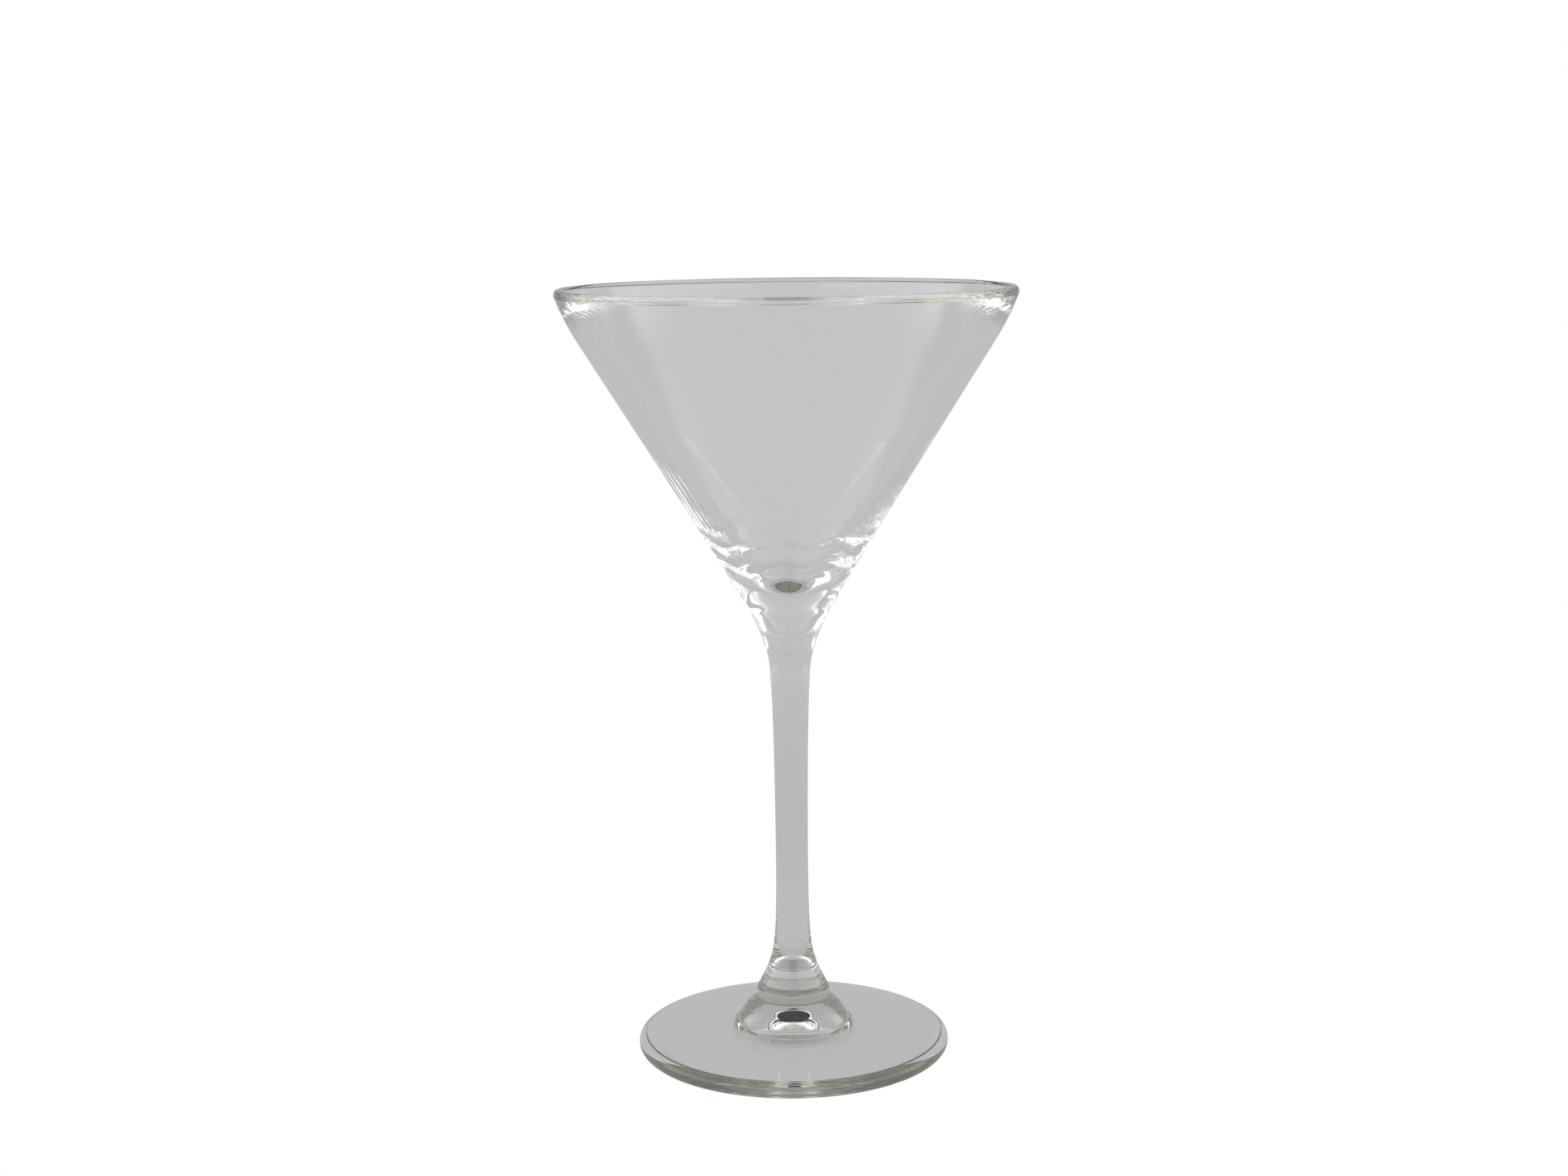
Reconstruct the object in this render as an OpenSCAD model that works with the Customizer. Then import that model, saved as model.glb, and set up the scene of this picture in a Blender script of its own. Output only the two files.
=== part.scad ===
// Martini glass: a heavy conical bowl, a slender stem and a round foot.
// The three pieces of glass meet face to face on two flat fused joints.

/* [Overall] */
// Diameter over the rim
rim_d = 110; // [104:1:116]
// Height from the table to the top of the rim
glass_h = 188; // [182:1:196]

/* [Bowl] */
// Thickness of the rounded rim
rim_t = 2.2; // [1.8:0.1:2.6]
// Angle between the outer wall and the axis, in degrees
outer_angle = 32; // [31.5:0.1:32.5]
// Angle between the inner wall and the axis at the rim, in degrees
inner_angle = 30.7; // [30.3:0.1:31.1]
// Height of the cavity floor above the point where the outer wall would close
floor_rise = 20; // [19:0.1:21]
// Height under the rim where the wall starts to turn up
turn_h = 12.7; // [10:0.1:16]
// How far the turned rim stands inside the straight line of the wall
turn_in = 1.5; // [1.2:0.1:1.8]

/* [Stem] */
// Diameter of the stem at its lower end, before it flares
stem_low_d = 6.5; // [6:0.1:8]
// Diameter of the stem at its upper end, before it flares
stem_top_d = 7.8; // [7:0.1:9]
// Softness of the curve from the stem into the bowl
knuckle_blend = 2.4; // [1.8:0.1:3]
// Softness of the curve from the stem into the foot
ankle_blend = 2.2; // [1.6:0.1:2.6]

/* [Foot] */
// Diameter of the foot
foot_d = 76.8; // [70:0.2:84]
// Thickness of the rounded edge of the foot
foot_t = 4; // [3:0.1:4.4]
// Slope of the top of the foot, in degrees
foot_slope = 7; // [5:0.5:9]
// Height of the fused joint between stem and foot
foot_joint_h = 13; // [12.5:0.5:14]
// How deep the waist at this joint is pinched in
waist_depth = 1; // [0.4:0.1:1.2]
// Angle between the flare above the foot and the axis, in degrees
flare_angle = 33.5; // [31:0.5:35]
// Height where the straight line of the flare would close to a point
flare_apex_h = 27.4; // [26.4:0.2:29]
// Softness of the crease between the hub and the top of the foot
crease_blend = 1.6; // [1:0.1:2.2]
// Radius where the hollow of the underside begins
hollow_r = 34; // [28:0.5:34]
// Slope of the hollow of the underside, in degrees
dish_slope = 6.5; // [4:0.5:7]
// Diameter of the dimple in the middle of the hollow
dimple_d = 21; // [16:0.5:24]
// Height of the dimple above the slope of the hollow
dimple_h = 4; // [2:0.5:5]

/* [Hidden] */
$fn = 96;
glass = [0.77, 0.79, 0.78, 0.45];
curve_steps = 24;
cavity_steps = 40;
round_steps = 12;
waist_reach = 2.5;

// The rounded rim is part of a circle, which the two walls meet tangentially.
lip_r = rim_t / 2;
lip_centre = [rim_d / 2 - lip_r, glass_h - lip_r];
turned_angle = outer_angle - 12;
lip_out = lip_centre + lip_r * [cos(turned_angle), -sin(turned_angle)];
lip_in = lip_centre + lip_r * [-cos(inner_angle), sin(inner_angle)];

// Height where the straight line of the outer wall would close to a point.
outer_apex_h = lip_out[1] - (lip_out[0] + turn_in) / tan(outer_angle);
turn_start_h = glass_h - turn_h;
bowl_joint_h = outer_apex_h + 5;

// The inner wall is a hyperbola with its vertex on the floor of the cavity.
// It meets the lip at inner_angle: cavity_slope is the slope of its asymptote,
// cavity_round the distance from the axis over which the floor stays round.
floor_h = outer_apex_h + floor_rise;
cavity_depth = lip_in[1] - floor_h;
cavity_reach = sqrt(2 * cavity_depth * lip_in[0] * tan(inner_angle) - pow(lip_in[0], 2));
cavity_slope = cavity_depth / cavity_reach;
cavity_round = (pow(lip_in[0], 2) - pow(cavity_reach, 2)) / (2 * cavity_reach);

// The rounded edge of the foot.
edge_r = foot_t / 2;
edge_centre = [foot_d / 2 - edge_r, edge_r];
edge_top = edge_centre + edge_r * [sin(foot_slope), cos(foot_slope)];

// The greater of a and b, with the corner between them softened by k.
function soft_max(a, b, k) = (a + b + sqrt(pow(a - b, 2) + 4 * k * k)) / 2;

// Evenly spaced values from a to b.
function spread(a, b, steps) = [for (i = [0 : steps]) a + (b - a) * i / steps];

// Radii of the four straight lines that the outer profile follows.
function wall_r(z) = tan(outer_angle) * (z - outer_apex_h);
function flare_r(z) = tan(flare_angle) * (flare_apex_h - z);
function foot_top_r(z) = edge_top[0] - (z - edge_top[1]) / tan(foot_slope);
function shank_r(z) = stem_low_d / 2
    + (stem_top_d - stem_low_d) / 2 * (z - foot_joint_h) / (bowl_joint_h - foot_joint_h);

// Depth of the pinched waist at height z, a smooth bell around the foot joint.
function pinch(z) = waist_depth * (1 + cos(180 * min(1, abs(z - foot_joint_h) / waist_reach))) / 2;

// Outer profile from the hub of the foot to the start of the turned rim.
function shaft_r(z) = soft_max(
    soft_max(shank_r(z), wall_r(z), knuckle_blend),
    flare_r(z),
    ankle_blend) - pinch(z);

// The turned rim leaves the line of the wall by a parabola.
function turn_r(z) = shaft_r(z)
    - turn_in * pow((z - turn_start_h) / (lip_out[1] - turn_start_h), 2);

// Height of the inner wall at radius r.
function cavity_z(r) = floor_h + cavity_slope * (sqrt(r * r + pow(cavity_round, 2)) - cavity_round);

// Top of the foot: hub and disc, with a soft crease between them.
function foot_r(z) = soft_max(shaft_r(z), foot_top_r(z), crease_blend);

// Hollow of the underside: a shallow cone that ends in a round dimple.
dimple_r = dimple_d / 2;
function hollow_z(r) = tan(dish_slope) * (hollow_r - max(r, dimple_r))
    + dimple_h * max(0, 1 - pow(r / dimple_r, 2));

// Points on a circle from angle a to angle b.
function arc(centre, r, a, b) =
    [for (t = spread(a, b, round_steps)) centre + r * [cos(t), sin(t)]];

module bowl() {
    knuckle = [for (z = spread(bowl_joint_h, floor_h, curve_steps)) [shaft_r(z), z]];
    turn = [for (z = spread(turn_start_h, lip_out[1], round_steps)) [turn_r(z), z]];
    lip = arc(lip_centre, lip_r, -turned_angle, 180 - inner_angle);
    cavity = [for (r = spread(lip_in[0], 0, cavity_steps)) [r, cavity_z(r)]];
    color(glass)
    rotate_extrude()
    polygon(concat([[0, bowl_joint_h]], knuckle, turn, lip, cavity));
}

module stem() {
    ankle_h = flare_apex_h + 10;
    flare = [for (z = spread(foot_joint_h, ankle_h, curve_steps)) [shaft_r(z), z]];
    shank = [for (z = spread(ankle_h, bowl_joint_h, curve_steps)) [shaft_r(z), z]];
    color(glass)
    rotate_extrude()
    polygon(concat([[0, foot_joint_h]], flare, shank, [[0, bowl_joint_h]]));
}

module foot() {
    dimple = [for (r = spread(0, dimple_r, round_steps)) [r, hollow_z(r)]];
    edge = arc(edge_centre, edge_r, -90, 90 - foot_slope);
    top = [for (z = spread(edge_top[1], foot_joint_h, curve_steps)) [foot_r(z), z]];
    color(glass)
    rotate_extrude()
    polygon(concat(dimple, [[hollow_r, 0]], edge, top, [[0, foot_joint_h]]));
}

bowl();
stem();
foot();
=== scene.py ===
"""Looks of a martini glass: three pieces of clear glass, the stage and the camera.

Lengths are in metres and angles in radians, in the frame of the CAD part.
"""
from math import cos, pi, radians, sin, sqrt, tan

import bmesh
import bpy
from mathutils import Matrix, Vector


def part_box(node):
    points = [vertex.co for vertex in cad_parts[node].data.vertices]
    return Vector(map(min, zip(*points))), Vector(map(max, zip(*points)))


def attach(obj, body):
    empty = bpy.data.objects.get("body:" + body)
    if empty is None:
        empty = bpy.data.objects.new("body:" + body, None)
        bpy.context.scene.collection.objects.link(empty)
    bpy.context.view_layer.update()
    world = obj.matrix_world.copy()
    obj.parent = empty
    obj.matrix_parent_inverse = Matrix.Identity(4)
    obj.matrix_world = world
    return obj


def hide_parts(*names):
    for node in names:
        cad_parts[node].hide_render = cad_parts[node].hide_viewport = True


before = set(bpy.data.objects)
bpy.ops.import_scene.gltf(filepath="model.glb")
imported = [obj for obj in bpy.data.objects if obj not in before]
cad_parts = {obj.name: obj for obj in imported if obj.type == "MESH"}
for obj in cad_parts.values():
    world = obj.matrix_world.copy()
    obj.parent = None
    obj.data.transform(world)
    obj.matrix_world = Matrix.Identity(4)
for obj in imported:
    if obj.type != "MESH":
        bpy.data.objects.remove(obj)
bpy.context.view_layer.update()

# ---------------------------------------------------------------- sizes of the glass
RIM_R = 0.055
GLASS_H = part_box("bowl")[1][2]
BOWL_JOINT_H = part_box("bowl")[0][2]
FOOT_JOINT_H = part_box("foot")[1][2]
FOOT_R = 0.0384

# Bowl
LIP_R = 0.0011
OUTER_ANGLE = radians(32)
INNER_ANGLE = radians(30.7)
FLOOR_RISE = 0.020
TURNED_ANGLE = radians(20)
TURN_H = 0.0127
TURN_IN = 0.0015

# Stem
STEM_LOW_R = 0.00325
STEM_TOP_R = 0.0039
KNUCKLE_BLEND = 0.0024
ANKLE_BLEND = 0.0022
FLARE_ANGLE = radians(33.5)
FLARE_APEX_H = 0.0274
WAIST_DEPTH = 0.0010
WAIST_REACH = 0.0025

# Foot
EDGE_R = 0.0020
FOOT_SLOPE = radians(7)
CREASE_BLEND = 0.0016
HOLLOW_R = 0.034
DISH_SLOPE = radians(6.5)
DIMPLE_R = 0.0105
DIMPLE_H = 0.0040

# Chill waves in the bottom of the cup and streaks up its wall, measured from the cavity floor
WAVE_H = 0.00021
WAVE_LENGTH = 0.0052
WAVE_MIDDLE = 0.009
WAVE_REACH = 0.010
WAVE_CALM_R = 0.003
STREAK_H = 0.000012
STREAK_MIDDLE = 0.025
STREAK_REACH = 0.035
STREAK_COUNT = 64

# Slow waves in the outer skin of the knuckle, measured from the bowl's joint
SKIN_H = 0.00005
SKIN_LENGTH = 0.0075
SKIN_MIDDLE = 0.011
SKIN_REACH = 0.014

# Groove at the foot's joint and pressed rings, measured from that joint
GROOVE_DEPTH = 0.00030
GROOVE_WIDTH = 0.0008
RING_H = 0.00004
RING_LENGTH = 0.0017
RING_MIDDLE = 0.0035
RING_REACH = 0.003

# Steps along the profiles, and round the axis
SEGMENTS = 360
ROUND_STEPS = 24
KNUCKLE_STEPS = 120
TURN_STEPS = 20
CAVITY_STEPS = 200
FLARE_H = 0.0075
FLARE_STEPS = 50
SHANK_STEPS = 160
HOLLOW_STEPS = 30
HUB_STEPS = 120
ON_AXIS = 1e-6
SAME_POINT = 1e-5

# ---------------------------------------------------------------- glass
IOR = 1.52
CLEAR = (0.99, 0.995, 0.99, 1)
OLIVE_TINT = (0.5, 0.515, 0.45, 1)
# Noise as (waves per metre, detail)
DULL_NOISE = (350.0, 4.0)
SKIN_NOISE = (90.0, 1.0)
GRIT_NOISE = (2500.0, 3.0)
# Noise values between which the spots appear, and heights over which the worn ring fades
DULL_BAND = (0.55, 0.80)
GRIT_BAND = (0.35, 0.65)
LEAST_GRIT = 0.3
WORN_BAND = (0.00005, 0.00025)
# Absorption per metre, roughness of dull spots, height of the mould skin, roughness of the worn ring
GLASS = {
    "bowl": (5.0, 0.012, 0.00004, 0.0),
    "stem": (11.0, 0.010, 0.00002, 0.0),
    "foot": (30.0, 0.015, 0.00003, 0.2),
}

# ---------------------------------------------------------------- studio
WHITE = (1, 1, 1, 1)
# Brightness of the grey floor and backdrop, and of the white tent
GREY_SWEEP = 0.53
TENT = 2.2
# Shares of the tent's light that are lost behind the operator, low in front and overhead
OPERATOR = 0.6
HAZE = 0.7
OVERHEAD = 0.55
# Soft edges, as the values of one part of the unit direction between which a thing begins or ends
BACKDROP_NEAR = (0.20, 0.40)
BACKDROP_TOP = (0.68, 0.74)
BACKDROP_SIDE = (0.70, 0.80)
WING_SIDE = (0.92, 0.98)
WING_TOP = (0.22, 0.34)
OPERATOR_FRONT = (-0.80, -0.70)
OPERATOR_SIDE = (0.25, 0.35)
OPERATOR_BOTTOM = (0.10, 0.20)
HAZE_FRONT = (-0.10, 0.10)
HAZE_TOP = (0.0, 0.30)
OVERHEAD_BOTTOM = (0.30, 0.70)
GAP_BOTTOM = (0.71, 0.75)
GAP_SIDE = (0.14, 0.17)
GAP_NEAR = (0.05, 0.15)
# Floor: half its width, and its brightness as (from, to, before, after) over the distance from the
# axis, which paints a shadow under the foot and a band of painted shade around the glass
FLOOR_HALF = 3
# Painted shadow: the floor's glow is dimmed close under the foot of the glass.
FLOOR_PAINTED_SHADOW = (0.003, 0.013, 0.60, 1.0)
# Painted shade: the floor's glow dips in a band around the glass and comes back to full brightness
# further out.
FLOOR_PAINTED_SHADE = (0.06, 0.20, 0.0, -0.04)
FLOOR_PAINTED_SHADE_END = (0.22, 0.50, 0.0, 0.04)
# Light bounces in clear glass
BOUNCES = 48
CLEAR_BOUNCES = 32

# ---------------------------------------------------------------- camera
CAMERA_D = 0.5768
CAMERA_H = 0.2126
PITCH = 0.1668
YAW = 0.0022
ROLL = 0.0105
LENS_MM = 55.4985

# ---------------------------------------------------------------- derived sizes
lip = (RIM_R - LIP_R, GLASS_H - LIP_R)
lip_out = (lip[0] + LIP_R * cos(TURNED_ANGLE), lip[1] - LIP_R * sin(TURNED_ANGLE))
lip_in = (lip[0] - LIP_R * cos(INNER_ANGLE), lip[1] + LIP_R * sin(INNER_ANGLE))
outer_apex_h = lip_out[1] - (lip_out[0] + TURN_IN) / tan(OUTER_ANGLE)
turn_start_h = GLASS_H - TURN_H
floor_h = outer_apex_h + FLOOR_RISE
cavity_depth = lip_in[1] - floor_h
cavity_reach = sqrt(2 * cavity_depth * lip_in[0] * tan(INNER_ANGLE) - lip_in[0] ** 2)
cavity_slope = cavity_depth / cavity_reach
cavity_round = (lip_in[0] ** 2 - cavity_reach**2) / (2 * cavity_reach)
edge = (FOOT_R - EDGE_R, EDGE_R)
edge_top = (edge[0] + EDGE_R * sin(FOOT_SLOPE), edge[1] + EDGE_R * cos(FOOT_SLOPE))


def soft_max(a, b, k):
    """The greater of a and b, with the corner between them softened by k."""
    return (a + b + sqrt((a - b) ** 2 + 4 * k * k)) / 2


def spread(a, b, steps):
    """Evenly spaced values from a to b."""
    return [a + (b - a) * i / steps for i in range(steps + 1)]


def bell(x, middle, width):
    """1 at middle, falling smoothly to 0 at middle - width and middle + width."""
    away = min(1, abs(x - middle) / width)
    return (1 + cos(pi * away)) / 2


def shaft_r(z):
    """Outer radius from the hub of the foot to the wall of the bowl."""
    share = (z - FOOT_JOINT_H) / (BOWL_JOINT_H - FOOT_JOINT_H)
    shank = STEM_LOW_R + (STEM_TOP_R - STEM_LOW_R) * share
    wall = tan(OUTER_ANGLE) * (z - outer_apex_h)
    flare = tan(FLARE_ANGLE) * (FLARE_APEX_H - z)
    pinch = WAIST_DEPTH * bell(z, FOOT_JOINT_H, WAIST_REACH)
    return soft_max(soft_max(shank, wall, KNUCKLE_BLEND), flare, ANKLE_BLEND) - pinch


def bowl_out_r(z):
    """Outer radius of the bowl: the turned rim leaves the wall by a parabola."""
    turned = max(0, z - turn_start_h) / (lip_out[1] - turn_start_h)
    return shaft_r(z) - TURN_IN * turned**2


def cavity_z(r):
    """Height of the inner wall, a hyperbola with its vertex on the cavity floor."""
    return floor_h + cavity_slope * (sqrt(r * r + cavity_round**2) - cavity_round)


def foot_top_r(z):
    """Outer radius of the foot's hub and disc, with a soft crease between them."""
    top = edge_top[0] - (z - edge_top[1]) / tan(FOOT_SLOPE)
    return soft_max(shaft_r(z), top, CREASE_BLEND)


def underside_z(r):
    """Height of the hollow underside: a shallow cone that ends in a round dimple."""
    cone = tan(DISH_SLOPE) * (HOLLOW_R - max(r, DIMPLE_R))
    return cone + DIMPLE_H * max(0, 1 - (r / DIMPLE_R) ** 2)


def arc(centre, r, a, b):
    """Points on a circle from angle a to angle b."""
    return [(centre[0] + r * cos(t), centre[1] + r * sin(t)) for t in spread(a, b, ROUND_STEPS)]


def dedupe(points):
    """The points without those that lie on the one before."""
    kept = [points[0]]
    for p in points[1:]:
        if abs(p[0] - kept[-1][0]) + abs(p[1] - kept[-1][1]) > SAME_POINT:
            kept.append(p)
    return kept


# ---------------------------------------------------------------- hand-made detail
# The bare numbers inside the sines only break up their regularity.
def cup_waves(r, z, a):
    """Chill waves that the plunger leaves in the bottom of the cup, and fine streaks up its wall."""
    rise = z - floor_h
    sway = 1.3 * sin(2 * a + 0.5) + 0.8 * sin(5 * a + 1.9) + 0.4 * sin(9 * a + 0.3)
    wave = WAVE_H * bell(rise, WAVE_MIDDLE, WAVE_REACH) * sin(2 * pi * rise / WAVE_LENGTH + sway)
    patches = max(0, sin(2 * a + 0.6)) ** 2
    streak = sin(STREAK_COUNT * a + 2 * sin(3 * a)) * patches
    streak *= STREAK_H * bell(rise, STREAK_MIDDLE, STREAK_REACH)
    return r + streak, z + wave * min(1, r / WAVE_CALM_R)


def skin_waves(r, z, a):
    """Slow waves in the skin of the knuckle below the cup."""
    sway = 1.1 * sin(a + 2.2) + 0.9 * sin(3 * a + 0.7) + 0.5 * sin(7 * a)
    reach = bell(z, BOWL_JOINT_H + SKIN_MIDDLE, SKIN_REACH)
    return r + SKIN_H * reach * sin(2 * pi * z / SKIN_LENGTH + sway), z


def bowl_waves(r, z, a):
    """Waves of the bowl: inside the cup, or on its outer skin."""
    inside = r < shaft_r(z) - 0.0003 and z > floor_h - 0.0002
    return cup_waves(r, z, a) if inside else skin_waves(r, z, a)


def ring_marks(r, z, a):
    """The groove of the foot's joint and the faint rings pressed above it."""
    groove = GROOVE_DEPTH * bell(z, FOOT_JOINT_H, GROOVE_WIDTH)
    reach = bell(z, FOOT_JOINT_H + RING_MIDDLE, RING_REACH)
    return r - groove + RING_H * reach * sin(2 * pi * z / RING_LENGTH + 0.4 * sin(a + 1)), z


def lathe(name, profile, caps, ripple):
    """Closed solid of revolution. profile runs from axis to axis. caps are the numbers of the
    bands of faces that belong to a fused joint. ripple moves each point of radius, height, angle."""
    bm = bmesh.new()
    joint = bm.faces.layers.float.new("joint")
    rings = []
    for r, z in profile:
        if r < ON_AXIS:
            rings.append([bm.verts.new((0, 0, z))])
            continue
        ring = []
        for i in range(SEGMENTS):
            a = 2 * pi * i / SEGMENTS
            rippled_r, rippled_z = ripple(r, z, a)
            ring.append(bm.verts.new((rippled_r * cos(a), rippled_r * sin(a), rippled_z)))
        rings.append(ring)
    for k, (low, high) in enumerate(zip(rings, rings[1:])):
        for i in range(SEGMENTS):
            j = (i + 1) % SEGMENTS
            if len(low) == 1:
                f = bm.faces.new((low[0], high[j], high[i]))
            elif len(high) == 1:
                f = bm.faces.new((low[i], low[j], high[0]))
            else:
                f = bm.faces.new((low[i], low[j], high[j], high[i]))
            f.smooth = k not in caps
            f[joint] = 1.0 if k in caps else 0.0
    bmesh.ops.recalc_face_normals(bm, faces=bm.faces)
    for e in bm.edges:
        e.smooth = len({f[joint] for f in e.link_faces}) == 1
    mesh = bpy.data.meshes.new(name)
    bm.to_mesh(mesh)
    bm.free()
    piece = bpy.data.objects.new(name, mesh)
    bpy.context.scene.collection.objects.link(piece)
    return piece


# ---------------------------------------------------------------- shader nodes
def maths(tree, operation, a, b):
    """Result of a Math node. a and b are numbers or sockets."""
    node = tree.nodes.new("ShaderNodeMath")
    node.operation = operation
    for socket, value in zip(node.inputs, (a, b)):
        if isinstance(value, (int, float)):
            socket.default_value = value
        else:
            tree.links.new(value, socket)
    return node.outputs[0]


def product(tree, first, *others):
    """All the factors multiplied together."""
    result = first
    for factor in others:
        result = maths(tree, "MULTIPLY", result, factor)
    return result


def ramp(tree, value, low, high, before=0.0, after=1.0):
    """Goes smoothly from before to after while value goes from low to high."""
    node = tree.nodes.new("ShaderNodeMapRange")
    node.interpolation_type = "SMOOTHSTEP"
    tree.links.new(value, node.inputs["Value"])
    numbers = {"From Min": low, "From Max": high, "To Min": before, "To Max": after}
    for name, number in numbers.items():
        node.inputs[name].default_value = number
    return node.outputs[0]


def fall(tree, value, band):
    """1 below the band, falling smoothly to 0 above it."""
    return ramp(tree, value, *band, 1.0, 0.0)


def coordinates(tree, kind):
    """Texture coordinates of the kind named."""
    return tree.nodes.new("ShaderNodeTexCoord").outputs[kind]


def parts(tree, vector):
    """The three parts of a vector."""
    node = tree.nodes.new("ShaderNodeSeparateXYZ")
    tree.links.new(vector, node.inputs[0])
    return node.outputs


def noise(tree, scale, detail):
    """Noise over the piece in real size: scale is in waves per metre."""
    texture = tree.nodes.new("ShaderNodeTexNoise")
    texture.inputs["Scale"].default_value = scale
    texture.inputs["Detail"].default_value = detail
    tree.links.new(coordinates(tree, "Object"), texture.inputs["Vector"])
    return texture.outputs["Fac"]


def seen_by_camera(tree):
    """1 for what the camera sees directly, 0 for what it sees through or in the glass."""
    return tree.nodes.new("ShaderNodeLightPath").outputs["Is Camera Ray"]


def new_material(name):
    """A new material with nodes, and its node tree."""
    material = bpy.data.materials.new(name)
    material.use_nodes = True
    return material, material.node_tree


def glass_material(name, density, dullness, skin, worn):
    """Clear glass, slightly olive in depth, that lets light straight through the fused joints."""
    material, tree = new_material(name)
    output = tree.nodes["Material Output"]
    surface = tree.nodes["Principled BSDF"]
    surface.inputs["Base Color"].default_value = CLEAR
    surface.inputs["IOR"].default_value = IOR
    surface.inputs["Transmission Weight"].default_value = 1.0

    roughness = ramp(tree, noise(tree, *DULL_NOISE), *DULL_BAND, 0.0, dullness)
    if worn:
        height = parts(tree, coordinates(tree, "Object"))[2]
        ring = ramp(tree, height, *WORN_BAND, worn, 0.0)
        grit = ramp(tree, noise(tree, *GRIT_NOISE), *GRIT_BAND, LEAST_GRIT, 1.0)
        roughness = maths(tree, "ADD", product(tree, ring, grit), roughness)
    tree.links.new(roughness, surface.inputs["Roughness"])

    bump = tree.nodes.new("ShaderNodeBump")
    bump.inputs["Distance"].default_value = skin
    tree.links.new(noise(tree, *SKIN_NOISE), bump.inputs["Height"])
    tree.links.new(bump.outputs[0], surface.inputs["Normal"])

    joint = tree.nodes.new("ShaderNodeAttribute")
    joint.attribute_name = "joint"
    open_joint = tree.nodes.new("ShaderNodeBsdfTransparent")
    fused = tree.nodes.new("ShaderNodeMixShader")
    tree.links.new(joint.outputs["Fac"], fused.inputs[0])
    tree.links.new(surface.outputs[0], fused.inputs[1])
    tree.links.new(open_joint.outputs[0], fused.inputs[2])
    tree.links.new(fused.outputs[0], output.inputs["Surface"])

    tint = tree.nodes.new("ShaderNodeVolumeAbsorption")
    tint.inputs["Color"].default_value = OLIVE_TINT
    tint.inputs["Density"].default_value = density
    tree.links.new(tint.outputs[0], output.inputs["Volume"])
    return material


# ---------------------------------------------------------------- pieces
knuckle = [(bowl_out_r(z), z) for z in spread(BOWL_JOINT_H, turn_start_h, KNUCKLE_STEPS)]
turn = [(bowl_out_r(z), z) for z in spread(turn_start_h, lip_out[1], TURN_STEPS)]
rim = arc(lip, LIP_R, -TURNED_ANGLE, pi - INNER_ANGLE)
inner = [(r, cavity_z(r)) for r in spread(lip_in[0], 0, CAVITY_STEPS)]
bowl_profile = dedupe([(0, BOWL_JOINT_H)] + knuckle + turn + rim + inner)
bowl = lathe("bowl_glass", bowl_profile, {0}, bowl_waves)

flare_top_h = FOOT_JOINT_H + FLARE_H
flare = [(shaft_r(z), z) for z in spread(FOOT_JOINT_H, flare_top_h, FLARE_STEPS)]
shank = [(shaft_r(z), z) for z in spread(flare_top_h, BOWL_JOINT_H, SHANK_STEPS)]
stem_profile = dedupe([(0, FOOT_JOINT_H)] + flare + shank + [(0, BOWL_JOINT_H)])
stem = lathe("stem_glass", stem_profile, {0, len(stem_profile) - 2}, ring_marks)

under_radii = spread(0, DIMPLE_R, ROUND_STEPS) + spread(DIMPLE_R, HOLLOW_R, HOLLOW_STEPS)
under = [(r, underside_z(r)) for r in under_radii]
edge_arc = arc(edge, EDGE_R, -pi / 2, pi / 2 - FOOT_SLOPE)
hub = [(foot_top_r(z), z) for z in spread(edge_top[1], FOOT_JOINT_H, HUB_STEPS)]
foot_profile = dedupe(under + edge_arc + hub + [(0, FOOT_JOINT_H)])
foot = lathe("foot_glass", foot_profile, {len(foot_profile) - 2}, ring_marks)

for piece, node in ((bowl, "bowl"), (stem, "stem"), (foot, "foot")):
    piece.data.materials.append(glass_material(node + "_glass", *GLASS[node]))
    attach(piece, "root")
    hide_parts(node)

# ---------------------------------------------------------------- stage
scene = bpy.context.scene
scene.view_settings.view_transform = "Standard"
scene.cycles.max_bounces = BOUNCES
scene.cycles.transmission_bounces = BOUNCES
scene.cycles.glossy_bounces = BOUNCES
scene.cycles.transparent_max_bounces = CLEAR_BOUNCES

world = bpy.data.worlds.new("studio")
scene.world = world
world.use_nodes = True
sky = world.node_tree
across, along, up = parts(sky, coordinates(sky, "Generated"))
sideways = maths(sky, "ABSOLUTE", across, 0.0)

# Grey backdrop behind the glass, wider near the floor
wings = product(sky, fall(sky, sideways, WING_SIDE), fall(sky, up, WING_TOP))
width = maths(sky, "MAXIMUM", wings, fall(sky, sideways, BACKDROP_SIDE))
backdrop = product(sky, ramp(sky, along, *BACKDROP_NEAR), fall(sky, up, BACKDROP_TOP), width)

# Darker parts of the white tent: the operator, the low front, the top and a black gap overhead
operator_edges = product(sky, fall(sky, along, OPERATOR_FRONT), fall(sky, sideways, OPERATOR_SIDE))
operator = product(sky, operator_edges, ramp(sky, up, *OPERATOR_BOTTOM), OPERATOR)
haze = product(sky, fall(sky, along, HAZE_FRONT), fall(sky, up, HAZE_TOP), HAZE)
gap_edges = product(sky, ramp(sky, up, *GAP_BOTTOM), fall(sky, sideways, GAP_SIDE))
gap = product(sky, gap_edges, ramp(sky, along, *GAP_NEAR))
overhead = product(sky, ramp(sky, up, *OVERHEAD_BOTTOM), OVERHEAD)
dark = overhead
for part in (operator, haze, gap):
    dark = maths(sky, "MAXIMUM", dark, part)
tent = product(sky, maths(sky, "SUBTRACT", 1.0, dark), TENT)

behind = product(sky, backdrop, GREY_SWEEP)
around = product(sky, maths(sky, "SUBTRACT", 1.0, backdrop), tent)
light = maths(sky, "ADD", behind, around)
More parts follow.
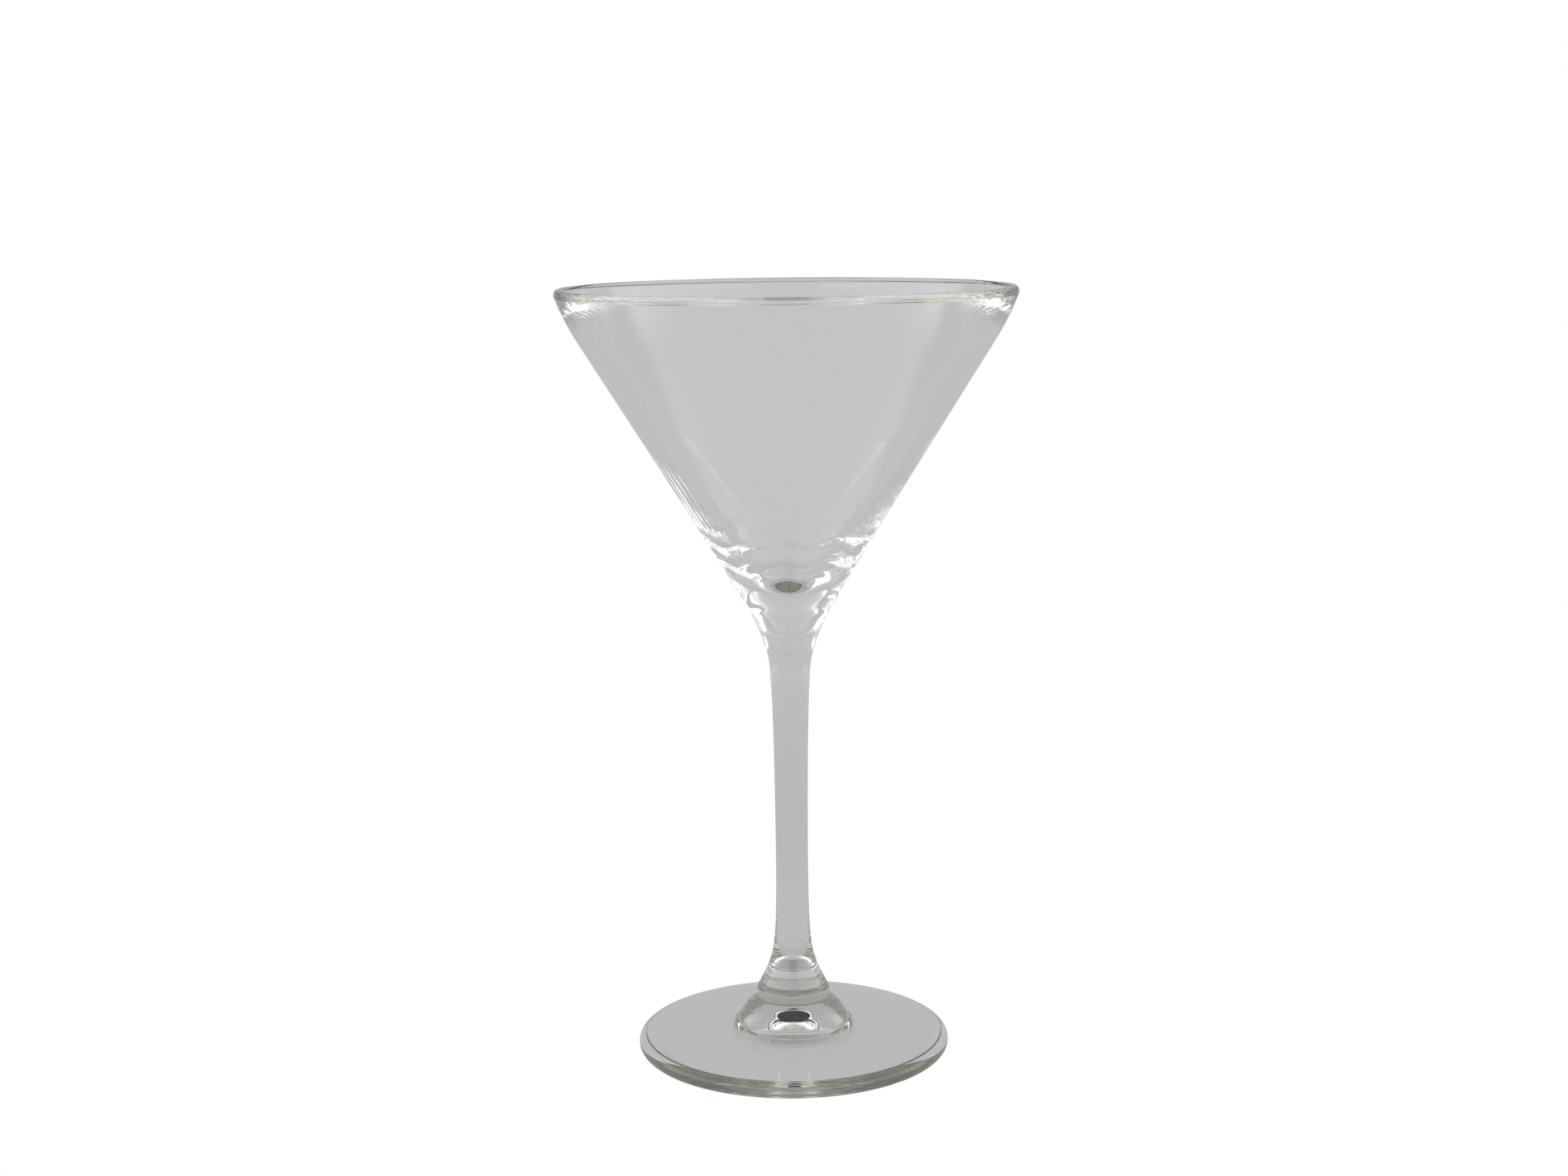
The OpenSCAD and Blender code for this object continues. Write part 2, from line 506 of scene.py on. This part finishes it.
# Straight from the camera the studio is plain white. Inputs 6 and 7 are the two colours mixed.
seen = sky.nodes.new("ShaderNodeMix")
seen.data_type = "RGBA"
sky.links.new(seen_by_camera(sky), seen.inputs[0])
sky.links.new(light, seen.inputs[6])
seen.inputs[7].default_value = WHITE
sky.links.new(seen.outputs[2], sky.nodes["Background"].inputs["Color"])

floor_mesh = bpy.data.meshes.new("floor")
corners = [(x * FLOOR_HALF, y * FLOOR_HALF, 0) for x, y in ((-1, -1), (1, -1), (1, 1), (-1, 1))]
floor_mesh.from_pydata(corners, [], [(0, 1, 2, 3)])
floor = bpy.data.objects.new("floor", floor_mesh)
scene.collection.objects.link(floor)
floor_material, sheet = new_material("floor")
sheet.nodes.remove(sheet.nodes["Principled BSDF"])
distance = sheet.nodes.new("ShaderNodeVectorMath")
distance.operation = "LENGTH"
sheet.links.new(coordinates(sheet, "Object"), distance.inputs[0])
# The floor's glow carries a painted shadow under the foot and a band of painted shade around the glass.
painted_floor_shades = [ramp(sheet, distance.outputs["Value"], *band) for band in (FLOOR_PAINTED_SHADOW, FLOOR_PAINTED_SHADE, FLOOR_PAINTED_SHADE_END)]
strength = maths(sheet, "ADD", maths(sheet, "ADD", painted_floor_shades[0], painted_floor_shades[1]), painted_floor_shades[2])
grey = sheet.nodes.new("ShaderNodeEmission")
grey.inputs["Color"].default_value = (GREY_SWEEP, GREY_SWEEP, GREY_SWEEP, 1)
sheet.links.new(strength, grey.inputs["Strength"])
white = sheet.nodes.new("ShaderNodeEmission")
white.inputs["Color"].default_value = WHITE
mix = sheet.nodes.new("ShaderNodeMixShader")
sheet.links.new(seen_by_camera(sheet), mix.inputs[0])
sheet.links.new(grey.outputs[0], mix.inputs[1])
sheet.links.new(white.outputs[0], mix.inputs[2])
sheet.links.new(mix.outputs[0], sheet.nodes["Material Output"].inputs["Surface"])
floor_mesh.materials.append(floor_material)

camera_data = bpy.data.cameras.new("camera")
camera_data.lens = LENS_MM
camera = bpy.data.objects.new("camera", camera_data)
scene.collection.objects.link(camera)
camera.matrix_world = (
    Matrix.Translation((0, -CAMERA_D, CAMERA_H))
    @ Matrix.Rotation(YAW, 4, "Z")
    @ Matrix.Rotation(pi / 2 - PITCH, 4, "X")
    @ Matrix.Rotation(-ROLL, 4, "Z")
)
scene.camera = camera
